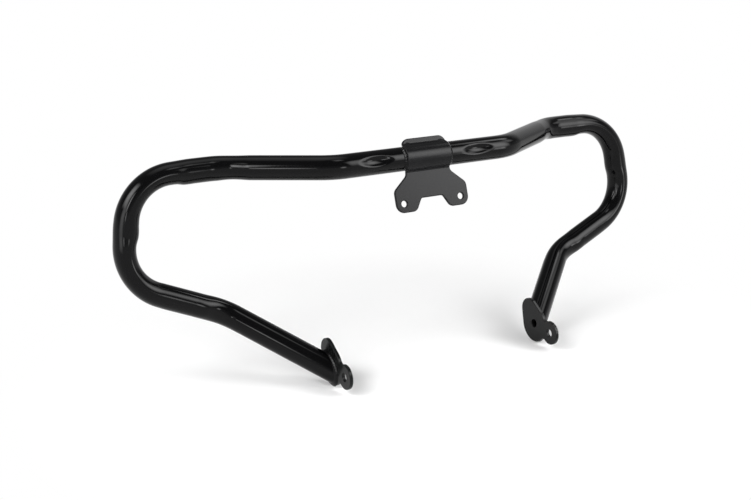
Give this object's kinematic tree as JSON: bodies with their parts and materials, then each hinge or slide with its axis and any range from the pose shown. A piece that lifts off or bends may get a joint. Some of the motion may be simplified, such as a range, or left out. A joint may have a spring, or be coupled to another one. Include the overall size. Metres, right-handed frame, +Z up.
{
  "type": "engine guard",
  "caption": "Tubular engine guard for a motorcycle: a bent black steel bar with a looped end on each side, a pressed centre bracket with bolt holes and flat foot plates.",
  "frame": {"origin": "on the rear face of the bracket's flange, halfway between its bolt holes", "axes": "+X across the machine to its right, +Y forward, +Z up with the top bar level"},
  "size_m": [0.8178, 0.1884, 0.305],
  "materials": {
    "tube_coat": "gloss",
    "bracket_coat": "satin",
    "plate_coat": "gloss"
  },
  "bodies": {
    "root": {"main_tube": "tube_coat", "centre_bracket": "bracket_coat", "right_foot_plate": "plate_coat", "left_foot_plate": "plate_coat", "right_bracket_weld": "tube_coat", "left_bracket_weld": "tube_coat", "right_foot_weld": "tube_coat", "left_foot_weld": "tube_coat"}
  },
  "joints": []
}
